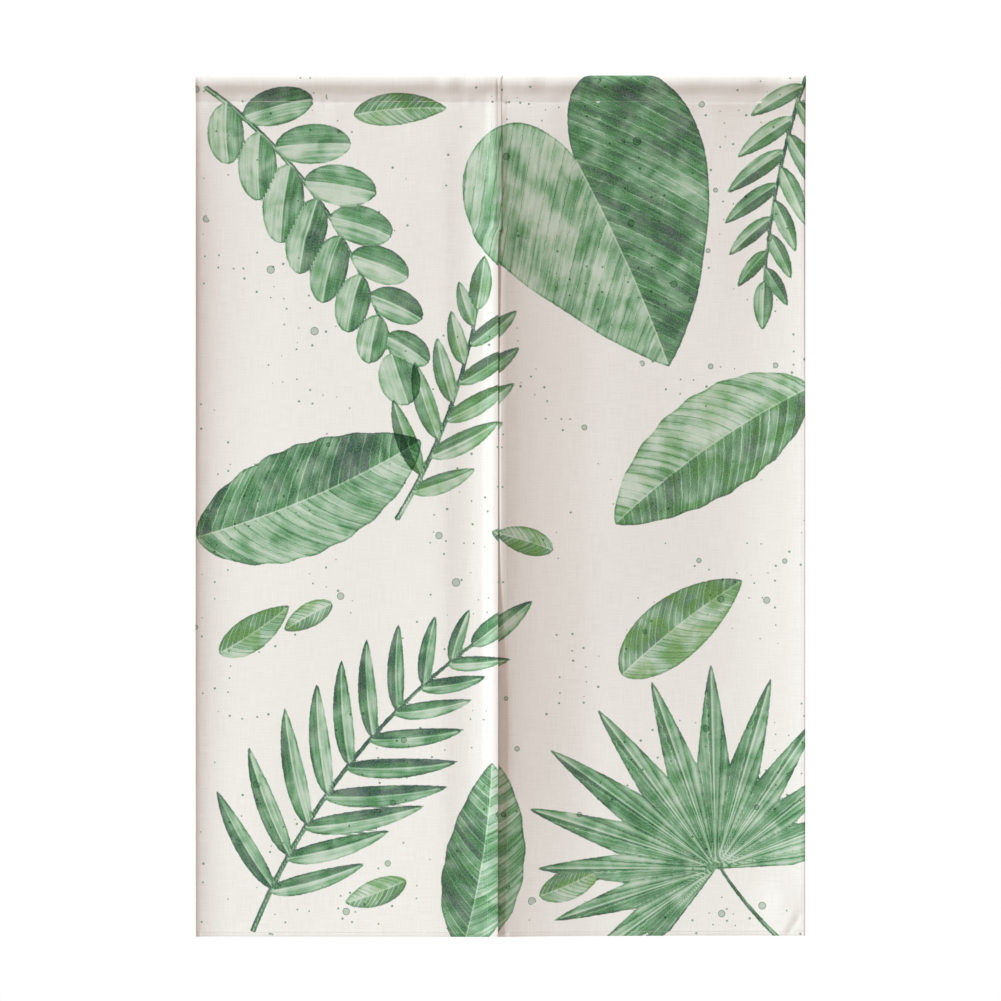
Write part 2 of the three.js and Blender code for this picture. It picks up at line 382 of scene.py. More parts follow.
@dataclass(frozen=True)
class Motif:
    """One printed leaf or stem, on a midrib that may bend evenly. A heading of 0 is right, 90 up."""

    x: float
    drop: float
    heading: float
    length: float
    width: float
    bend: float = 0.0
    tone: float = 0.5
    warmth: float = 0.0
    vein_gap: float = 0.0
    vein_slant: float = 0.9

    def local(self, x: np.ndarray, drop: np.ndarray) -> tuple[np.ndarray, np.ndarray]:
        """Where places lie on this motif.

        Args:
            x: Places across the cloth.
            drop: Places down the cloth.

        Returns:
            How far along the midrib each lies, and how far to its left.
        """
        turn = math.radians(self.heading)
        dx, dy = x - self.x, self.drop - drop
        u = dx * math.cos(turn) + dy * math.sin(turn)
        v = dy * math.cos(turn) - dx * math.sin(turn)
        bent = math.radians(self.bend) / self.length
        if abs(bent) < STRAIGHT:
            return u, v
        return np.arctan2(bent * u, 1 - bent * v) / bent, (1 - np.hypot(bent * u, 1 - bent * v)) / bent

    def spot(self, along: float) -> tuple[float, float, float]:
        """A place on the midrib.

        Args:
            along: How far from the base, in mm.

        Returns:
            Its x, its drop and the heading there.
        """
        turn = math.radians(self.heading)
        bent = math.radians(self.bend) / self.length
        if abs(bent) < STRAIGHT:
            u, v = along, 0.0
        else:
            u, v = math.sin(bent * along) / bent, (1 - math.cos(bent * along)) / bent
        x = self.x + u * math.cos(turn) - v * math.sin(turn)
        drop = self.drop - u * math.sin(turn) - v * math.cos(turn)
        return x, drop, self.heading + math.degrees(bent * along)

    def read(self, x: np.ndarray, drop: np.ndarray) -> tuple[np.ndarray, ...]:
        """The print's form at each place.

        Args:
            x: Places across the cloth.
            drop: Places down the cloth.

        Returns:
            How far inside the outline each place lies, how far off the midrib, the vein's count and
            the gap between veins there, all in mm but the count.
        """
        along, across = self.local(x, drop)
        off = np.abs(across)
        sweep = self.vein_slant * off * (VEIN_SWEEP + off / max(self.width, 1.0))
        gap = np.full_like(along, self.vein_gap)
        return self.inside(along, across), across, (along - sweep) / max(self.vein_gap, 1.0), gap

    def inside(self, along: np.ndarray, across: np.ndarray) -> np.ndarray:
        """How far inside a plain tapering stem each place lies.

        Args:
            along: How far along the midrib.
            across: How far to its left.

        Returns:
            The distance to the outline in mm, negative outside.
        """
        half = self.width * (1 - STEM_TAPER * np.clip(along / self.length, 0, 1)) / 2
        past = np.maximum(-along, along - self.length)
        return np.where(past > 0, -np.hypot(past, across), half - np.abs(across))


@dataclass(frozen=True)
class Leaf(Motif):
    """A leaf whose halves widen from the base to a peak and narrow to a point."""

    peak: float = 0.42
    full: float = 1.7
    ruffle: float = 0.0

    def inside(self, along: np.ndarray, across: np.ndarray) -> np.ndarray:
        """How far inside the leaf's outline each place lies.

        Args:
            along: How far along the midrib.
            across: How far to its left.

        Returns:
            The distance to the outline in mm, negative outside.
        """
        t = np.clip(along / self.length, TIP, 1 - TIP)
        rise, fall = self.full * self.peak, self.full * (1 - self.peak)
        half = self.width / 2 * (t / self.peak) ** rise * ((1 - t) / (1 - self.peak)) ** fall
        steep = half * (rise / t - fall / (1 - t)) / self.length
        half = half * (1 + self.ruffle * np.sin(along / RUFFLE_WAVE + np.sign(across)))
        past = np.maximum(-along, along - self.length)
        near = (half - np.abs(across)) / np.sqrt(1 + steep**2)
        return np.where(past > 0, -np.hypot(past, across), near)


@dataclass(frozen=True)
class HeartLeaf(Motif):
    """A heart-shaped leaf, whose lobes reach back past the stalk."""

    def read(self, x: np.ndarray, drop: np.ndarray) -> tuple[np.ndarray, ...]:
        """The print's form at each place.

        Args:
            x: Places across the cloth.
            drop: Places down the cloth.

        Returns:
            The same as for any motif.
        """
        along, across = self.local(x, drop)
        turn = np.abs(np.arctan2(across * self.length / self.width / HEART_BROAD, along))
        reach = HEART_REACH.at(turn)
        rise = HEART_REACH.at(turn + ANGLE_STEP) - HEART_REACH.at(turn - ANGLE_STEP)
        lean = rise / (2 * ANGLE_STEP) / reach
        inside = (self.length * reach - np.hypot(along, across)) / np.sqrt(1 + lean**2)
        count = (along - self.vein_slant * np.abs(across) ** HEART_SWEEP) / self.vein_gap
        return inside, across, count, np.full_like(along, self.vein_gap)


@dataclass(frozen=True)
class FanLeaf(Motif):
    """A fan palm's leaf: pointed segments, joined near the stalk, over a wide arc."""

    segments: int = 13
    spread: float = 230.0
    joined: float = 0.5
    shorter: float = 0.26
    shorter_power: float = 1.6
    uneven: float = 0.035
    uneven_turn: float = 4.7
    point: float = 0.72
    lap: float = 1.4
    folds: int = 3
    least_gap: float = 2.0

    def read(self, x: np.ndarray, drop: np.ndarray) -> tuple[np.ndarray, ...]:
        """The print's form at each place.

        Args:
            x: Places across the cloth.
            drop: Places down the cloth.

        Returns:
            The same as for any motif.
        """
        along, across = self.local(x, drop)
        step = math.radians(self.spread) / self.segments
        around, radius = np.arctan2(across, along), np.hypot(along, across)
        last = (self.segments - 1) / 2
        count = np.clip(np.round(around / step - 0.5) + 0.5, -last, last)
        off = around - count * step
        long = self.length * (1 - self.shorter * np.abs(count * 2 / self.segments) ** self.shorter_power)
        long = long * (1 + self.uneven * np.cos(count * self.uneven_turn))
        beside, ahead = radius * np.sin(off), radius * np.cos(off)
        neck, widening = self.joined * long, math.tan(step / 2)
        taper = np.clip((long - ahead) / (long - neck), 0, 1) ** self.point
        half = np.where(ahead < neck, ahead * widening + self.lap, (neck * widening + self.lap) * taper)
        inside = np.where(ahead > long, -np.hypot(ahead - long, beside), half - np.abs(beside))
        inside = np.where(ahead < 0, -radius, inside)
        fold = step / self.folds
        return inside, beside, off / fold, np.maximum(radius * fold, self.least_gap)


@dataclass(frozen=True)
class Spray:
    """A stem with leaflets on both sides and one at its tip."""

    x: float
    drop: float
    heading: float
    length: float
    bend: float
    pairs: int
    leaf: Leaf
    spread: float = 48.0
    first: float = 0.2
    taper: float = 0.5
    alternate: bool = False
    stalk: float = 8.0
    stem_tone: float = 0.15
    stagger: tuple[float, float] = (0.12, 0.5)
    longest: float = 0.35
    base_taper: float = 0.25
    closing: float = 0.35
    uneven: float = 0.06
    uneven_turn: tuple[float, float] = (7.3, 2.1)
    uneven_heading: float = 5.0
    uneven_tone: float = 0.12
    slender: float = 0.4
    last_share: float = 0.985
    last_taper: float = 0.7
    last_bend: float = 4.0

    def motifs(self) -> list[Motif]:
        """The stem and its leaflets.

        Returns:
            Motifs in the order in which they are printed.
        """
        tone = self.leaf.tone + self.stem_tone
        stem = Motif(self.x, self.drop, self.heading, self.length, self.stalk, self.bend, tone)
        made: list[Motif] = [stem]
        for i in range(self.pairs):
            for side in (1, -1):
                shift = self.stagger[self.alternate] * (side > 0)
                share = self.first + (1 - self.first) * (i + shift) / self.pairs
                x, drop, heading = stem.spot(share * self.length)
                size = 1 - self.taper * max(share - self.longest, 0) / (1 - self.longest)
                size -= self.base_taper * max(self.longest - share, 0) / self.longest
                wobble = math.sin(self.uneven_turn[0] * i + self.uneven_turn[1] * side)
                turn = self.spread * (1 - self.closing * share) + self.uneven_heading * wobble
                made.append(replace(
                    self.leaf, x=x, drop=drop, heading=heading + side * turn, bend=-side * self.leaf.bend,
                    length=self.leaf.length * size * (1 + self.uneven * wobble),
                    width=self.leaf.width * (self.slender + (1 - self.slender) * size),
                    tone=self.leaf.tone + self.uneven_tone * wobble,
                ))
        x, drop, heading = stem.spot(self.length * self.last_share)
        last = self.leaf.length * (1 - self.last_taper * self.taper)
        made.append(replace(self.leaf, x=x, drop=drop, heading=heading, length=last, bend=self.last_bend))
        return made


@dataclass(frozen=True)
class LeafPrint:
    """The printed design: a generic one of common leaves, in two layers of watercolour."""

    under: tuple[Motif | Spray, ...] = (
        Spray(
            -412, 22, -36, 470, -38, 7, Leaf(0, 0, 0, 112, 58, 14, 0.42, 0.1, peak=0.5, full=1.1),
            spread=62, first=0.08, taper=0.45, alternate=True,
        ),
        Spray(
            -345, 1200, 68, 520, -32, 9, Leaf(0, 0, 0, 176, 31, 14, 0.56, 0.05, peak=0.38, full=1.25),
            spread=62, first=0.12, taper=0.62,
        ),
        Leaf(432, 440, 206, 335, 142, 18, 0.45, 0.35, 15, 0.7, peak=0.45, full=1.4, ruffle=0.02),
        Leaf(168, 842, 44, 215, 88, -12, 0.45, 0.7, 12, 0.9, peak=0.42, full=1.4),
        Leaf(-48, 1222, 74, 262, 106, 14, 0.55, 0.15, 13, 0.8, peak=0.42, full=1.4, ruffle=0.02),
        Leaf(-205, 62, 12, 132, 46, -16, 0.5, 0.5, 9, 1.0, peak=0.42, full=1.5),
        Leaf(-392, 812, 28, 120, 48, 12, 0.45, 0.6, 9, 1.0, peak=0.42, full=1.5),
        Spray(
            436, -24, 250, 330, 16, 6, Leaf(0, 0, 0, 106, 28, 10, 0.52, 0.25, peak=0.4, full=1.4),
            spread=54, first=0.14, taper=0.5, alternate=True, stalk=6.5,
        ),
        Leaf(-424, 650, 15, 345, 152, 16, 0.52, 0.08, 16, 0.75, peak=0.45, full=1.35, ruffle=0.02),
    )
    over: tuple[Motif | Spray, ...] = (
        HeartLeaf(112, 138, -62, 300, 262, -8, 0.5, 0.12, 24, 0.7),
        Motif(172, -14, 250, 160, 5.5, 8, 0.62),
        FanLeaf(300, 1112, 118, 285, 0, 0, 0.56, 0.08, 12, 0.9),
        Motif(395, 1216, 138, 145, 7.0, -16, 0.62, 0.2),
        Spray(
            -142, 626, 58, 320, 22, 5, Leaf(0, 0, 0, 118, 31, 12, 0.5, 0.4, peak=0.42, full=1.4),
            spread=54, first=0.14, taper=0.5, alternate=True,
        ),
        Leaf(52, 1150, 18, 96, 42, 10, 0.45, 0.8, 8, 1.0, peak=0.45, full=1.4),
        Leaf(-128, 1128, 205, 92, 38, -10, 0.4, 0.6, 8, 1.0, peak=0.45, full=1.4),
        Leaf(72, 668, 158, 84, 38, 10, 0.5, 0.7, 8, 1.0, peak=0.45, full=1.4),
        Leaf(-232, 742, 205, 78, 34, 8, 0.4, 0.7, 8, 1.0, peak=0.45, full=1.4),
    )
    bare: tuple[float, ...] = (-9.0, 0.0, 0.5, 0.0)
    seed_step: float = 0.37

    def dress(self, mesh: bpy.types.Mesh, x: np.ndarray, drop: np.ndarray) -> None:
        """Writes the print's form and ink on a mesh.

        Args:
            mesh: The panel's mesh.
            x: Where each vertex lies across the flat cloth, in mm.
            drop: Where each lies down it.
        """
        for name, layer in (("under", self.under), ("over", self.over)):
            motifs = [m for part in layer for m in (part.motifs() if isinstance(part, Spray) else [part])]
            form = np.tile(np.array(self.bare), (len(x), 1))
            ink = np.zeros((len(x), 4))
            for number, motif in enumerate(motifs):
                read = np.stack(motif.read(x, drop), axis=1)
                wins = read[:, 0] > form[:, 0]
                form[wins] = read[wins]
                seed = number * self.seed_step % 1.0
                ink[wins] = (motif.tone, seed, motif.warmth, float(motif.vein_gap > 0))
            for kind, values in (("form", form), ("ink", ink)):
                attribute = mesh.attributes.new(f"{name}_{kind}", "FLOAT_COLOR", "POINT")
                attribute.data.foreach_set("color", values.astype(np.float32).ravel())


def unit(vectors: np.ndarray) -> np.ndarray:
    """Brings vectors to length 1.

    Args:
        vectors: Vectors along the last axis.

    Returns:
        The same at length 1.
    """
    return vectors / np.linalg.norm(vectors, axis=-1, keepdims=True)


def add_piece(name: str, points: np.ndarray, faces: list) -> bpy.types.Object:
    """Adds a smooth mesh object to the scene.

    Args:
        name: Its name.
        points: Its points in mm.
        faces: Its faces.

    Returns:
        The object.
    """
    mesh = bpy.data.meshes.new(name)
    mesh.from_pydata((points * METRE).tolist(), [], faces)
    mesh.shade_smooth()
    piece = bpy.data.objects.new(name, mesh)
    bpy.context.collection.objects.link(piece)
    return piece


@dataclass
class Panel:
    """One panel of cloth with its share of the rod pocket: one sheet, thicker over its hems."""

    side: Side
    step: float = 5.9
    pocket_rows: int = 30
    edge_marks: tuple[float, ...] = (0.0, 0.7, 2.0)
    hem_mark: float = 0.2
    lap_mark: float = 3.0
    join_marks: tuple[float, ...] = (-5, -1, 3, 7, 11, 15, 19, 23)
    smooth_angle: float = 50.0

    @property
    def name(self) -> str:
        """The piece's name."""
        return f"cloth_{self.side.name.lower()}"

    @property
    def wide(self) -> float:
        """The hemmed panel's flat width."""
        edge = LEFT_LAP_EDGE if self.side is Side.LEFT else RIGHT_LAP_EDGE
        return abs(edge - self.side.value * OUTER_EDGE)

    def lap_share(self, across: np.ndarray) -> np.ndarray:
        """How much the cloth gives way for the lap, by its distance from the outer edge."""
        return 1 - line(self.wide - across, LAP_CLEAR, LAP_EASE)

    def place(self, across: np.ndarray, drop: np.ndarray) -> np.ndarray:
        """Where places of the flat panel hang.

        Args:
            across: Distance from the outer edge, in mm.
            drop: Distance below the top fold.

        Returns:
            The x of each place.
        """
        outer = self.side.value * OUTER_EDGE
        edge = LEFT_EDGE if self.side is Side.LEFT else RIGHT_EDGE
        drift = np.abs(edge.at(drop) - outer) - self.wide
        pull = line(across, SIDE_HEM, self.wide - CENTRE_HEM)
        return outer - self.side.value * (across + drift * pull)

    def sewn_relief(self, across: np.ndarray, drop: np.ndarray) -> np.ndarray:
        """Bands raised by the hems, grooves along the stitches, rolled edges and puckers.

        Args:
            across: Distance from the outer edge, in mm.
            drop: Distance below the top fold.

        Returns:
            How far back each place moves, in mm.
        """
        inner, below = self.wide - across, DROP - drop
        x = self.place(across, drop)
        joined = JOINED.at(drop)
        raised = np.zeros_like(x)
        for inside, band in zip((across, inner, below), HEM_BANDS):
            raised = np.maximum(raised, band.at(inside))
        side, centre, bottom = across - SIDE_SEAM, inner - CENTRE_SEAM, below - BOTTOM_SEAM
        top, lap = drop - POCKET_SEAM, inner - LAP_SEAM
        groove = sum(SEAM_GROOVE.at(off) for off in (side, centre, bottom))
        groove = groove + joined * (SEAM_GROOVE.at(lap) + GATHERED.at(drop) * GATHER_GROOVE.at(lap))
        groove = np.maximum(groove, POCKET_GROOVE[self.side].at(top))
        roll = INNER_ROLL.at(inner) + BOTTOM_ROLL.at(below)
        if self.side is Side.RIGHT:
            valley = VALLEY_TOP.at(drop) * VALLEY_END.at(drop) * VALLEY_FAR.at(inner)
            roll = roll + RIGHT_TURN.at(drop) * RIGHT_ROLL.at(across)
            roll = roll + valley * line(inner, VALLEY_START, VALLEY_FULL)
            roll = roll + (1 - joined) * TUCK.at(x - LEFT_EDGE.at(drop) - TUCK_START)
        else:
            roll = roll + LEFT_ROLL.at(across) + joined * self.pressed(inner)
        pucker = POCKET_PUCKER.at(x, top) + POCKET_SAG.at(x, top)
        pull = SIDE_PULL.at(drop, side) + CENTRE_PULL.at(drop, centre) + BOTTOM_PULL.at(x, bottom)
        return groove + roll + pucker + pull - raised

    def front(self, across: np.ndarray, drop: np.ndarray) -> np.ndarray:
        """The front face below the pocket.

        Args:
            across: Distance from the outer edge, in mm.
            drop: Distance below the top fold.

        Returns:
            Points, in mm.
        """
        x = self.place(across, drop)
        lap = self.lap_share(across)
        if self.side is Side.LEFT:
            plan, lean, layer = LEFT_PLAN.at(x), LEFT_LEAN.at(drop), -LAP_STEP * lap
        else:
            plan, lean, layer = RIGHT_PLAN.at(x), RIGHT_LEAN.at(drop), APART.at(drop)
        free = line(drop, POCKET_DROP, JOIN_DROP) * (1 - lap)
        soft = sum(hollow.at(x, drop) for hollow in HOLLOWS) + sum(crease.at(x, drop) for crease in CREASES)
        y = -LAYER_FRONT + SHARE.at(drop) * plan + lean + layer + free * soft
        return np.stack([x, y + self.sewn_relief(across, drop), -drop], axis=-1)

    def pocket(self, across: np.ndarray, turn: np.ndarray) -> np.ndarray:
        """The pocket's outer face, from the back's sewn edge at -1 over the fold to the front's at 1.

        Args:
            across: Distance from the outer edge, in mm.
            turn: Where on the section, from -1 to 1.

        Returns:
            Points, in mm.
        """
        drop = POCKET_DROP * turn**2
        round_turn = np.abs(turn)
        x = self.place(across, drop)
        sewn = line(drop, BULGE_END, SEWN_START)
        out = POCKET_SECTION.at(round_turn) * (1 + (POCKET_FULLNESS.at(x) - 1) * (1 - sewn))
        pinch = ramp(drop, BULGE_END, SEWN_START) * (2 * LAYER_FRONT - 2 * CLOTH_THICK - LAYER_GAP)
        lap = self.lap_share(across) * LAP_STEP
        shift = lap * sewn if self.side is Side.LEFT else -lap * (1 - sewn)
        out = out - pinch * (turn < 0) + shift * np.clip(round_turn * LAP_TURN, 0, 1)
        fold = np.minimum(shift, 0) * np.clip(1 - round_turn * FOLD_TURN, 0, 1)
        shown = np.where(turn > 0, 1.0, BACK_RELIEF) * FOLD_RELIEF.at(round_turn)
        relief = self.sewn_relief(across, drop) * shown
        return np.stack([x, -np.sign(turn) * (out - relief), -drop + fold], axis=-1)

    def pressed(self, inner: np.ndarray) -> np.ndarray:
        """How far the left panel's lapped edge is pressed flat, by the distance from that edge."""
        return LAP_PRESS.at(inner) * (self.side is Side.LEFT)

    def thickness(self, across: np.ndarray, drop: np.ndarray) -> np.ndarray:
        """How thick the cloth is, with its turned hems."""
        hem = (across < SIDE_HEM) | (self.wide - across < CENTRE_HEM) | (DROP - drop < BOTTOM_HEM)
        return np.where(hem, HEM_THICK, CLOTH_THICK) - self.pressed(self.wide - across)

    def steps(self) -> tuple[np.ndarray, np.ndarray, np.ndarray]:
        """Where the sheet's columns and rows run.

        Returns:
            The columns' distances from the outer edge, and for each row its drop and its turn round
            the pocket, BELOW_POCKET where it lies below.
        """
        mark = self.hem_mark
        start, end = SIDE_HEM + mark, self.wide - CENTRE_HEM - mark
        hem = (CENTRE_HEM - mark, CENTRE_HEM + mark)
        inner = (*self.edge_marks, self.lap_mark, LAP_SEAM, VALLEY_START, *hem)
        marks = [*self.edge_marks, SIDE_HEM - mark, start, *(self.wide - m for m in inner)]
        columns = np.unique([*marks, *np.linspace(start, end, round((end - start) / self.step) + 1)])
        turns = np.linspace(-1, 1, self.pocket_rows + 1)
        bottom = (*self.edge_marks, BOTTOM_ROLL.reach, BOTTOM_HEM - mark, BOTTOM_HEM + mark)
        low = [DROP - m for m in bottom]
        body = np.linspace(POCKET_DROP, min(low), round((min(low) - POCKET_DROP) / self.step) + 1)
        drops = np.unique([*body, *low, *(JOIN_DROP + m for m in self.join_marks)])
        halved = (np.sort(np.r_[at, (at[1:] + at[:-1]) / 2]) for at in (columns, turns, drops))
        columns, turns, drops = halved
        row_drop = np.r_[POCKET_DROP * turns**2, drops[1:]]
        row_turn = np.r_[turns, np.full(len(drops) - 1, BELOW_POCKET)]
        return columns, row_drop, row_turn

    def build(self) -> tuple[bpy.types.Object, float]:
        """Builds the sheet: a fine outer face, an inner face with half its rows and columns, and edges.

        Returns:
            The object, and the flat cloth's length in mm.
        """
        columns, row_drop, row_turn = self.steps()
        if self.side is Side.RIGHT:
            columns = columns[::-1]
        across, drop = np.meshgrid(columns, row_drop)
        turn = np.meshgrid(columns, row_turn)[1]
        is_pocket = turn < BELOW_POCKET
        outer = np.where(
            is_pocket[..., None],
            self.pocket(across, np.where(is_pocket, turn, 1.0)),
            self.front(across, np.maximum(drop, POCKET_DROP)),
        )
        normal = unit(np.cross(np.gradient(outer, axis=0), np.gradient(outer, axis=1)))
        inner = (outer - normal * self.thickness(across, drop)[..., None])[::2, ::2]
        points = np.concatenate([outer.reshape(-1, 3), inner.reshape(-1, 3)])
        piece = add_piece(self.name, points, self.faces(across.shape, inner.shape[:2]))

        section = outer[:, len(columns) // 2, 1:]
        run = np.r_[0, np.cumsum(np.linalg.norm(np.diff(section, axis=0), axis=1))]
        top = np.interp(0.0, np.where(row_turn < BELOW_POCKET, row_turn, row_drop), run)
        self.dress(piece.data, across, run - top)
        bpy.ops.object.select_all(action="DESELECT")
        piece.select_set(True)
        bpy.context.view_layer.objects.active = piece
        bpy.ops.object.shade_smooth_by_angle(angle=math.radians(self.smooth_angle))
        LOG.info("%s: %d faces, flat length %.0f mm", self.name, len(piece.data.polygons), run[-1])
        return piece, run[-1]

    def faces(self, fine: tuple[int, int], coarse: tuple[int, int]) -> list:
        """The sheet's faces.

        Args:
            fine: The outer face's rows and columns.
            coarse: The inner face's, half as many.

        Returns:
            Faces as lists of corners, the outer face's points first.
        """
        f = np.arange(fine[0] * fine[1]).reshape(fine)
        g = f.size + np.arange(coarse[0] * coarse[1]).reshape(coarse)

        def quads(*corners: np.ndarray) -> list:
            """Faces through four grids of corners."""
            return np.stack(corners, axis=-1).reshape(-1, 4).tolist()

        def strip(edge: np.ndarray, other: np.ndarray, flip: bool) -> list:
            """Faces that join an edge of the outer face to the inner face's."""
            parts = np.stack([edge[:-2:2], edge[1:-1:2], edge[2::2], other[1:], other[:-1]], axis=-1)
            return (parts[:, ::-1] if flip else parts).tolist()

        made = quads(f[:-1, :-1], f[1:, :-1], f[1:, 1:], f[:-1, 1:])
        made += quads(g[:-1, :-1], g[:-1, 1:], g[1:, 1:], g[1:, :-1])
        made += strip(f[:, 0], g[:, 0], True) + strip(f[:, -1], g[:, -1], False)
        return made + strip(f[0], g[0], False) + strip(f[-1], g[-1], True)

    def dress(self, mesh: bpy.types.Mesh, across: np.ndarray, down: np.ndarray) -> None:
        """Lays the flat cloth's coordinates, its reverse and the print on the sheet's mesh.

        Args:
            mesh: The sheet's mesh.
            across: The outer face's grid of distances from the outer edge.
            down: How far each row lies below the top fold on the flat cloth.
        """
        grids = (self.side.value * (OUTER_EDGE - across), np.repeat(down[:, None], across.shape[1], axis=1))
        u, v = (np.concatenate([grid.ravel(), grid[::2, ::2].ravel()]) for grid in grids)
        loops = np.zeros(len(mesh.loops), dtype=np.int32)
        mesh.loops.foreach_get("vertex_index", loops)
        uv = mesh.uv_layers.new(name="flat_cloth")
        uv.data.foreach_set("uv", np.stack([u, -v], axis=1)[loops].astype(np.float32).ravel() * METRE)
        reverse = mesh.attributes.new("reverse", "FLOAT", "POINT")
        reverse.data.foreach_set("value", (np.arange(len(u)) >= across.size).astype(np.float32))
        LeafPrint().dress(mesh, u, v)
        mesh.validate()


def srgb(code: str) -> tuple[float, float, float, float]:
    """Turns an sRGB hex code into a linear colour.

    Args:
        code: Six hex digits.

    Returns:
        The linear colour with full alpha.
    """
    parts = [int(code[i:i + 2], 16) / 255 for i in (0, 2, 4)]
    linear = [p / 12.92 if p <= 0.04045 else ((p + 0.055) / 1.055) ** 2.4 for p in parts]
    return (*linear, 1.0)


Socket = bpy.types.NodeSocket
Value = Socket | float | tuple


def add_node(
    tree: bpy.types.NodeTree, kind: str, settings: dict | None = None, **inputs: Value
) -> bpy.types.Node:
    """Adds a node to a tree.

    Args:
        tree: The node tree.
        kind: The node's type without the ShaderNode prefix.
        settings: Properties of the node.
        inputs: Values or outputs for its sockets, by name with _ for a space, or i and an index.

    Returns:
        The node.
    """
    node = tree.nodes.new(f"ShaderNode{kind}")
    for key, value in (settings or {}).items():
        setattr(node, key, value)
    for key, value in inputs.items():
        socket = node.inputs[int(key[1:])] if key[1:].isdigit() else node.inputs[key.replace("_", " ")]
        if isinstance(value, bpy.types.NodeSocket):
            tree.links.new(value, socket)
        else:
            socket.default_value = value
    return node


@dataclass(frozen=True)
class Patches:
    """Soft random patches: how many in a mm, and how they are broken up."""

    scale: float
    detail: float = 2.0
    roughness: float = 0.5
    distortion: float = 0.0


@dataclass
class Graph:
    """A material or world's empty node tree, with short ways to add what it needs."""

    owner: bpy.types.Material | bpy.types.World

    def __post_init__(self) -> None:
        """Empties the owner's node tree."""
        self.owner.use_nodes = True
        self.tree = self.owner.node_tree
        self.tree.nodes.clear()

    def add(self, kind: str, settings: dict | None = None, **inputs: Value) -> bpy.types.Node:
        """Adds a node, as add_node does."""
        return add_node(self.tree, kind, settings, **inputs)

    def calc(self, operation: str, *values: Value, clamp: bool = False) -> Socket:
        """One step of arithmetic on the values in order, held between 0 and 1 by clamp."""
        inputs = {f"i{i}": value for i, value in enumerate(values)}
        return self.add("Math", {"operation": operation, "use_clamp": clamp}, **inputs).outputs[0]

    def product(self, *values: Value) -> Socket:
        """The product of two values or more."""
        return reduce(lambda made, value: self.calc("MULTIPLY", made, value), values)

    def centred(self, share: Socket, weight: float) -> Socket:
        """A share from 0 to 1, turned into one round 0 and multiplied by the weight."""
        return self.calc("MULTIPLY_ADD", share, weight, -weight / 2)

    def move(self, operation: str, place: Socket, other: Value) -> Socket:
        """One step of arithmetic on places."""
        return self.add("VectorMath", {"operation": operation}, i0=place, i1=other).outputs[0]

    def mix(self, share: Socket, first: Value, second: Value, blend: str = "MIX") -> Socket:
        """Two colours mixed, by the second one's share."""
        settings = {"data_type": "RGBA", "blend_type": blend}
        return self.add("Mix", settings, i0=share, i6=first, i7=second).outputs[2]

    def bump(self, height: Socket, strength: float, depth: float) -> Socket:
        """A surface's bumps, by its height as a share of the depth in mm."""
        return self.add("Bump", Strength=strength, Distance=depth * METRE, Height=height).outputs[0]

    def step(self, value: Socket, step: Step, smooth: bool = True) -> Socket:
        """A step's height at a value, eased in and out where it is smooth."""
        return self.add(
            "MapRange", {"interpolation_type": "SMOOTHSTEP" if smooth else "LINEAR"}, Value=value,
            From_Min=step.start, From_Max=step.end, To_Min=step.low, To_Max=step.high,
        ).outputs[0]

    def patches(self, place: Socket, look: Patches) -> Socket:
        """Soft random patches of that look, as shares."""
        inputs = {name.capitalize(): value for name, value in asdict(look).items()}
        return self.add("TexNoise", Vector=place, **inputs).outputs[0]


@dataclass(frozen=True)
class Dots:
    """Dots of ink of one kind. Each cell may hold one, and a share of them do."""

    cell: float
    least: float
    most: float
    share: float
    rim: float


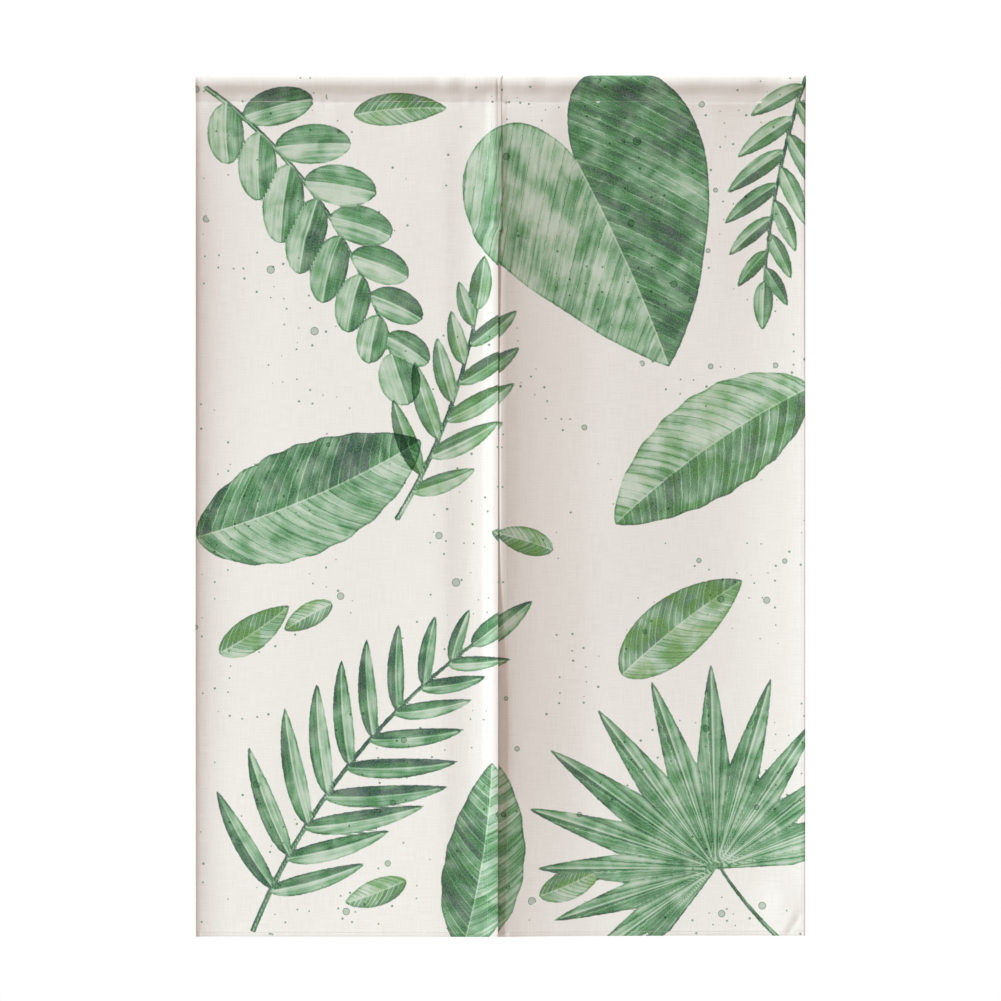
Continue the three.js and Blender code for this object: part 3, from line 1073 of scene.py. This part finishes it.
@dataclass(frozen=True)
class Watercolour:
    """Water-based ink, painted in thin washes with a wet brush.

    It pools darker at the edge of each leaf, runs in blots and blooms, and shows the brush's bristles
    along the veins. Being clear, it darkens what lies under it. Lengths are in mm, shades are shares of
    the range of inks.
    """

    inks: tuple[tuple[float, str], ...] = (
        (0.0, "D2E6D6"), (0.2, "B4D6BC"), (0.4, "83B890"), (0.58, "559A66"), (0.78, "35784A"),
        (1.0, "225446"),
    )
    warm_ink: str = "7FAE4A"
    dot_ink: str = "4F8B64"
    warm_most: float = 0.75
    dot_strength: float = 0.8

    tremble: Patches = Patches(0.16, 3.0)
    blots: Patches = Patches(0.016)
    bloom: Patches = Patches(0.035, 2.0, 0.45, 0.5)
    bristles: Patches = Patches(1.0, 3.0, 0.55)
    grain: Patches = Patches(0.5)
    zones: Patches = Patches(0.009, 1.0)
    # How far apart each motif's own patches, bristles and strips lie
    own_shift: float = 900.0
    own_bristles: float = 70.0
    own_strips: float = 50.0
    # How fine the bristles are beside and along the brush, on a leaf without veins and on a veined one
    bristle_beside: tuple[float, float] = (0.24, 2.8)
    bristle_along: tuple[float, float] = (0.014, 0.022)

    edge_wander: float = 2.4
    vein_wander: float = 0.35
    edge: Step = Step(-0.5, 0.7)
    rim: Step = Step(0.6, 4.5, 1.0, 0.0)
    vein: Step = Step(0.3, 1.5, 1.0, 0.0)
    halves: Step = Step(-1.5, 1.5, -0.5, 0.5)
    spine: Step = Step(0.5, 1.7, 1.0, 0.0)
    spine_inside: float = 2.4
    warm: Step = Step(0.4, 0.62)
    thin: Step = Step(0.3, 0.6, 0.86, 1.0)
    dry: Step = Step(0.35, 0.6, 0.88, 1.0)

    blot_shade: float = 1.0
    half_shade: float = 0.42
    strip_shade: float = 0.3
    bloom_shade: float = 0.5
    bristle_shade: float = 1.1
    rim_shade: float = 0.55
    vein_shade: float = -0.62
    vein_lighter: float = -0.02
    spine_shade: float = 0.36

    dots: tuple[Dots, ...] = (Dots(19.0, 0.8, 1.9, 0.1, 0.0), Dots(88.0, 3.0, 6.0, 0.3, 0.45))
    dot_edge: Step = Step(-0.3, 0.4)
    dot_rim: tuple[float, float] = (0.6, 1.8)
    dot_jitter: float = 0.9
    dot_gathering: float = -3.0

    def leaves(self, graph: Graph, flat: Socket, layer: str, base: Socket, strength: Socket) -> Socket:
        """One layer of printed leaves over what is there already.

        Args:
            graph: The material's nodes.
            flat: Flat cloth coordinates in mm.
            layer: The layer's name.
            base: The colour below.
            strength: How strongly the print shows.

        Returns:
            The colour's socket.
        """
        calc, product = graph.calc, graph.product
        form = graph.add("Attribute", {"attribute_name": f"{layer}_form"})
        ink = graph.add("Attribute", {"attribute_name": f"{layer}_ink"})
        inside, rib, count = graph.add("SeparateXYZ", i0=form.outputs["Vector"]).outputs
        tone, seed, warmth = graph.add("SeparateXYZ", i0=ink.outputs["Vector"]).outputs
        gap, veined = form.outputs["Alpha"], ink.outputs["Alpha"]

        shift = graph.add("CombineXYZ", X=product(seed, self.own_shift), Y=seed).outputs[0]
        own = graph.move("ADD", flat, shift)
        tremble, blots, bloom = (graph.patches(own, look) for look in (self.tremble, self.blots, self.bloom))
        brushed = [
            graph.add("Mix", i0=veined, i2=product(plain, fine[0]), i3=product(ribbed, fine[1])).outputs[0]
            for plain, ribbed, fine in ((rib, count, self.bristle_beside), (count, rib, self.bristle_along))
        ]
        brush = graph.add("CombineXYZ", X=brushed[0], Y=brushed[1], Z=product(seed, self.own_bristles))
        bristle = graph.patches(brush.outputs[0], self.bristles)

        edge = calc("ADD", inside, graph.centred(tremble, self.edge_wander))
        wavy = calc("ADD", count, product(tremble, self.vein_wander))
        off = calc("ABSOLUTE", calc("SUBTRACT", calc("FRACT", wavy), 0.5))
        vein = product(graph.step(product(off, gap), self.vein), veined)
        number = calc("ADD", calc("FLOOR", calc("ADD", wavy, 0.5)), product(seed, self.own_strips))
        strip = graph.add("TexWhiteNoise", {"noise_dimensions": "1D"}, W=number).outputs[0]
        half = graph.step(rib, self.halves)
        spine = graph.step(calc("ABSOLUTE", rib), self.spine)
        spine = product(spine, calc("GREATER_THAN", inside, self.spine_inside))

        depth = tone
        for shade in (
            graph.centred(blots, self.blot_shade),
            product(half, self.half_shade),
            product(graph.centred(strip, 1.0), veined, self.strip_shade),
            graph.centred(bloom, self.bloom_shade),
            graph.centred(bristle, self.bristle_shade),
            product(graph.step(edge, self.rim), bloom, self.rim_shade),
            product(vein, calc("MULTIPLY_ADD", half, self.vein_shade, self.vein_lighter)),
        ):
            depth = calc("ADD", depth, shade)
        depth = calc("SUBTRACT", depth, product(spine, self.spine_shade), clamp=True)

        wash = graph.add("ValToRGB", Fac=depth)
        stops = wash.color_ramp.elements
        for place, code in self.inks[1:-1]:
            stops.new(place).color = srgb(code)
        stops[0].color, stops[-1].color = srgb(self.inks[0][1]), srgb(self.inks[-1][1])
        warm = calc("MULTIPLY", warmth, graph.step(bloom, self.warm, smooth=False), clamp=True)
        colour = graph.mix(product(warm, self.warm_most), wash.outputs[0], srgb(self.warm_ink))
        thin = graph.step(bloom, self.thin, smooth=False)
        dry = graph.step(graph.patches(flat, self.grain), self.dry, smooth=False)
        amount = product(graph.step(edge, self.edge), thin, product(dry, strength))
        return graph.mix(amount, base, colour, "MULTIPLY")

    def spatter(self, graph: Graph, flat: Socket, base: Socket, strength: Socket) -> Socket:
        """Small dots and a few larger drops of ink between the leaves.

        Args:
            graph: The material's nodes.
            flat: Flat cloth coordinates in mm.
            base: The colour below.
            strength: How strongly the print shows.

        Returns:
            The colour's socket.
        """
        zone = graph.patches(flat, self.zones)
        for kind in self.dots:
            cells = graph.add(
                "TexVoronoi", {"voronoi_dimensions": "2D"}, Vector=flat, Scale=1 / kind.cell,
                Randomness=self.dot_jitter,
            )
            pick, size, _ = graph.add("SeparateXYZ", i0=cells.outputs["Color"]).outputs
            size = graph.step(size, Step(0.0, 1.0, kind.least, kind.most), smooth=False)
            off = graph.calc("SUBTRACT", size, graph.product(cells.outputs["Distance"], kind.cell))
            rim = graph.step(off, Step(*self.dot_rim, 1.0, 1.0 - kind.rim))
            near = graph.calc("ADD", pick, graph.centred(zone, self.dot_gathering))
            kept = graph.calc("LESS_THAN", near, kind.share)
            dot = graph.product(graph.step(off, self.dot_edge), kept)
            amount = graph.product(dot, graph.product(rim, strength), self.dot_strength)
            base = graph.mix(amount, base, srgb(self.dot_ink), "MULTIPLY")
        return base


@dataclass(frozen=True)
class PrintedCloth:
    """Cotton and linen plain weave, printed with water-based ink that soaks into the front.

    The yarns are uneven, so the surface is matt with faint slubs both ways. Little of the ink reaches
    the back.
    """

    cloth: str = "E5E1D9"
    slub_shade: str = "DDD7CF"
    # The real yarns are about 0.5 mm apart. They are drawn wider apart, as fine as the render shows.
    yarn_pitch: float = 1.7
    yarn_height: float = 0.35
    slubs: Patches = Patches(1.0, 3.0)
    slub_stretch: tuple[tuple[float, float, float], ...] = ((0.035, 0.9, 1.0), (0.9, 0.028, 1.0))
    slub_range: Step = Step(0.8, 1.35)
    bump: float = 0.22
    bump_depth: float = 0.4
    roughness: float = 0.9
    specular: float = 0.2
    sheen: float = 0.08
    sheen_roughness: float = 0.5
    show_through: float = 0.22
    ink: Watercolour = Watercolour()

    def build(self) -> bpy.types.Material:
        """Builds the material.

        Returns:
            The material.
        """
        made = bpy.data.materials.new("printed_plain_weave")
        graph = Graph(made)
        place = graph.add("UVMap", {"uv_map": "flat_cloth"}).outputs[0]
        flat = graph.add("VectorMath", {"operation": "SCALE"}, i0=place, Scale=1 / METRE).outputs[0]
        slub, weave = self.weave(graph, flat)
        base = graph.mix(slub, srgb(self.cloth), srgb(self.slub_shade))
        reverse = graph.add("Attribute", {"attribute_name": "reverse"}).outputs["Fac"]
        strength = graph.step(reverse, Step(0.0, 1.0, 1.0, self.show_through), smooth=False)
        for layer in ("under", "over"):
            base = self.ink.leaves(graph, flat, layer, base, strength)
        base = self.ink.spatter(graph, flat, base, strength)
        bump = graph.bump(weave, self.bump, self.bump_depth)
        shader = graph.add(
            "BsdfPrincipled", Base_Color=base, Normal=bump, Roughness=self.roughness,
            Specular_IOR_Level=self.specular, Sheen_Weight=self.sheen, Sheen_Roughness=self.sheen_roughness,
        )
        graph.add("OutputMaterial", Surface=shader.outputs[0])
        return made

    def weave(self, graph: Graph, flat: Socket) -> tuple[Socket, Socket]:
        """Slubs and yarns.

        Args:
            graph: The material's nodes.
            flat: Flat cloth coordinates in mm.

        Returns:
            The slubs' shade and the surface's height.
        """
        split = graph.add("SeparateXYZ", i0=flat)
        turn = math.pi / self.yarn_pitch
        yarns = graph.product(*(graph.calc("SINE", graph.product(split.outputs[i], turn)) for i in (0, 1)))
        drawn = (graph.move("MULTIPLY", flat, long) for long in self.slub_stretch)
        both = graph.calc("ADD", *(graph.patches(place, self.slubs) for place in drawn))
        height = graph.calc("ADD", graph.product(yarns, self.yarn_height), both)
        return graph.step(both, self.slub_range, smooth=False), height


@dataclass(frozen=True)
class SewingThread:
    """Spun polyester sewing thread: matt, off-white, with a fine twist, and painted shade in the grooves
    between its plies.
    """

    thread: str = "CBC4B7"
    # Painted shade: the darker colour laid in the grooves between the plies, where they would lie in shade
    between: str = "B9B1A3"
    twist: float = 0.5
    bump: float = 0.4
    bump_depth: float = 0.1
    roughness: float = 0.75

    def build(self) -> bpy.types.Material:
        """Builds the material.

        Returns:
            The material.
        """
        made = bpy.data.materials.new("spun_polyester_thread")
        graph = Graph(made)
        place = graph.add("TexCoord").outputs["Object"]
        wave = {"bands_direction": "DIAGONAL"}
        plies = graph.add("TexWave", wave, Vector=place, Scale=1 / (self.twist * METRE)).outputs["Fac"]
        # The ply wave paints the grooves darker as painted shade, and also drives the bump
        shade = graph.mix(plies, srgb(self.thread), srgb(self.between))
        bump = graph.bump(plies, self.bump, self.bump_depth)
        shader = graph.add("BsdfPrincipled", Base_Color=shade, Normal=bump, Roughness=self.roughness)
        graph.add("OutputMaterial", Surface=shader.outputs[0])
        return made


@dataclass(frozen=True)
class PaleFloor:
    """Pale painted board, so matt that it mirrors nothing."""

    paint: str = "DEDDDB"
    roughness: float = 0.95

    def build(self) -> bpy.types.Material:
        """Builds the material.

        Returns:
            The material.
        """
        made = bpy.data.materials.new("matt_painted_board")
        made.use_nodes = True
        shader = made.node_tree.nodes["Principled BSDF"]
        shader.inputs["Base Color"].default_value = srgb(self.paint)
        shader.inputs["Roughness"].default_value = self.roughness
        return made


@dataclass
class Stitching:
    """The machine stitches of one panel, on both faces of the cloth."""

    panel: Panel
    pitch: float = 3.1
    long: float = 2.3
    thick: float = 0.55
    sides: int = 6
    cuts: int = 2
    end_from: float = 0.9
    end_thick: float = 0.55
    end_dip: float = -0.35
    middle_rise: float = 0.12
    edge_gap: float = 2.5
    seam_gap: float = 4.0
    probe: float = 0.4

    def stitch(self) -> tuple[np.ndarray, list]:
        """Models one stitch as a rounded bar that dips into the cloth at both ends.

        Returns:
            Its points in mm, along X with Z out of the cloth, and its faces.
        """
        bpy.ops.object.select_all(action="DESELECT")
        bpy.ops.mesh.primitive_cylinder_add(
            vertices=self.sides, radius=self.thick / 2, depth=self.long, end_fill_type="NGON",
            rotation=(0, math.pi / 2, 0),
        )
        bar = bpy.context.object
        bpy.ops.object.transform_apply(rotation=True)
        bpy.ops.object.mode_set(mode="EDIT")
        bpy.ops.mesh.select_all(action="DESELECT")
        bpy.ops.mesh.select_mode(type="EDGE")
        bpy.ops.object.mode_set(mode="OBJECT")
        for edge in bar.data.edges:
            a, b = (bar.data.vertices[i].co for i in edge.vertices)
            edge.select = abs(a.x - b.x) > self.long / 2
        bpy.ops.object.mode_set(mode="EDIT")
        bpy.ops.mesh.subdivide(number_cuts=self.cuts)
        bpy.ops.object.mode_set(mode="OBJECT")
        points = np.array([v.co for v in bar.data.vertices])
        at_end = np.abs(points[:, 0]) / (self.long / 2) > self.end_from
        points[:, 1:] *= np.where(at_end, self.end_thick, 1.0)[:, None]
        points[:, 2] += self.thick * np.where(at_end, self.end_dip, self.middle_rise)
        faces = [list(p.vertices) for p in bar.data.polygons]
        bpy.data.objects.remove(bar)
        return points, faces

    def lines(self) -> list[tuple[np.ndarray, np.ndarray]]:
        """Where the stitches run.

        Returns:
            For each line, the stitches' distances from the outer edge and their drops.
        """
        wide = self.panel.wide
        down = np.arange(POCKET_SEAM + self.seam_gap, DROP - BOTTOM_SEAM, self.pitch)
        level = np.arange(self.edge_gap, wide - self.edge_gap, self.pitch)
        runs = [
            (level, np.full(len(level), POCKET_SEAM)),
            (np.full(len(down), SIDE_SEAM), down),
            (np.full(len(down), wide - CENTRE_SEAM), down),
            (level, np.full(len(level), DROP - BOTTOM_SEAM)),
        ]
        if self.panel.side is Side.LEFT:
            joined = down[down < JOIN_DROP]
            runs.append((np.full(len(joined), wide - LAP_SEAM), joined))
        return runs

    def build(self) -> bpy.types.Object:
        """Copies the stitch along every line, on the front and on the back.

        Returns:
            The object.
        """
        points, faces = self.stitch()
        corners, made = [], []
        for across, drop in self.lines():
            run = unit(np.array([across[-1] - across[0], drop[-1] - drop[0]])) * self.probe
            here = self.at(across, drop)
            along = unit(self.at(across + run[0], drop + run[1]) - here)
            out = unit(np.cross(along, self.at(across - run[1], drop + run[0]) - here))
            out *= np.where(out[:, 1:2] > 0, -1.0, 1.0)
            back = here - out * self.panel.thickness(across, drop)[:, None]
            for normal, level in ((out, here), (-out, back)):
                for axes in zip(along, np.cross(normal, along), normal, level):
                    first = len(corners) * len(points)
                    corners.append(points @ np.array(axes[:3]) + axes[3])
                    made.extend([[corner + first for corner in face] for face in faces])
        piece = add_piece(f"stitches_{self.panel.side.name.lower()}", np.concatenate(corners), made)
        LOG.info("%s: %d faces", piece.name, len(made))
        return piece

    def at(self, across: np.ndarray, drop: np.ndarray) -> np.ndarray:
        """Points of the front face, also on the pocket.

        Args:
            across: Distance from the outer edge, in mm.
            drop: Distance below the top fold.

        Returns:
            Points, in mm.
        """
        on_pocket = self.panel.pocket(across, np.sqrt(np.clip(drop, 0, POCKET_DROP) / POCKET_DROP))
        below = self.panel.front(across, np.maximum(drop, POCKET_DROP))
        return np.where((drop < POCKET_DROP)[:, None], on_pocket, below)


@dataclass(frozen=True)
class Sun:
    """A soft light from far away, placed by degrees from the front to the left and above the level."""

    name: str
    azimuth: float
    elevation: float
    strength: float
    soft: float
    colour: str
    away: float = 4.0

    def add(self) -> None:
        """Adds the light to the scene."""
        data = bpy.data.lights.new(self.name, "SUN")
        data.energy, data.angle, data.color = self.strength, math.radians(self.soft), srgb(self.colour)[:3]
        a, e = math.radians(self.azimuth), math.radians(self.elevation)
        towards = Vector((-math.sin(a) * math.cos(e), -math.cos(a) * math.cos(e), math.sin(e)))
        light = bpy.data.objects.new(self.name, data)
        light.rotation_mode = "QUATERNION"
        light.rotation_quaternion = towards.to_track_quat("Z", "Y")
        light.location = towards * self.away
        bpy.context.collection.objects.link(light)


@dataclass
class Studio:
    """Camera, light and floor."""

    lens: float = 200.0
    frame_wide: float = 1395.0
    sensor: float = 36.0
    sight: float = 60.0
    aim_x: float = -0.35
    aim_drop: float = 592.3
    suns: tuple[Sun, ...] = (
        Sun("key", 67.0, 28.0, 6.0, 5.0, "E2F6FF"),
        Sun("back", 215.0, 35.0, 1.6, 30.0, "E9FCFF"),
    )
    fill: float = 0.415
    fill_colour: str = "FFD2C2"
    backdrop: str = "FFFFFF"
    floor_drop: float = 1900.0
    floor_reach: float = 3200.0
    floor_sides: int = 96

    def build(self) -> None:
        """Makes the camera, the lights, the world and the floor."""
        away = self.frame_wide * self.lens / self.sensor * METRE
        data = bpy.data.cameras.new("camera")
        data.lens, data.sensor_width, data.clip_end = self.lens, self.sensor, self.sight
        camera = bpy.data.objects.new("camera", data)
        camera.location = (self.aim_x * METRE, -away, -self.aim_drop * METRE)
        camera.rotation_euler = (math.pi / 2, 0, 0)
        bpy.context.collection.objects.link(camera)
        bpy.context.scene.camera = camera
        bpy.context.scene.view_settings.view_transform = "Standard"
        for sun in self.suns:
            sun.add()
        self.world()
        self.floor()

    def world(self) -> None:
        """A warm, even fill, and white where nothing stands."""
        world = bpy.data.worlds.new("studio")
        bpy.context.scene.world = world
        graph = Graph(world)
        fill = graph.add("Background", Color=srgb(self.fill_colour), Strength=self.fill)
        white = graph.add("Background", Color=srgb(self.backdrop), Strength=1.0)
        seen = graph.add("LightPath").outputs["Is Camera Ray"]
        both = graph.add("MixShader", i0=seen, i1=fill.outputs[0], i2=white.outputs[0])
        graph.add("OutputWorld", Surface=both.outputs[0])

    def floor(self) -> None:
        """A round pale floor below the curtain."""
        bpy.ops.object.select_all(action="DESELECT")
        bpy.ops.mesh.primitive_circle_add(
            vertices=self.floor_sides, radius=self.floor_reach * METRE, fill_type="NGON",
            location=(0, 0, -self.floor_drop * METRE),
        )
        floor = bpy.context.object
        floor.name = "floor"
        bpy.ops.object.transform_apply(location=True)
        floor.data.materials.append(PaleFloor().build())


def main() -> None:
    """Builds the scene in order and reports each piece."""
    logging.basicConfig(level=logging.INFO, format="%(name)s: %(message)s")
    Studio().build()
    cloth, thread = PrintedCloth().build(), SewingThread().build()
    for side in Side:
        panel = Panel(side)
        piece, long = panel.build()
        piece.data.materials.append(cloth)
        stitches = Stitching(panel).build()
        stitches.data.materials.append(thread)
        word = side.name.lower()
        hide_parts(f"pocket_{word}", f"panel_{word}")
        for part in (piece, stitches):
            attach(part, "root")


if __name__ == "__main__":
    main()
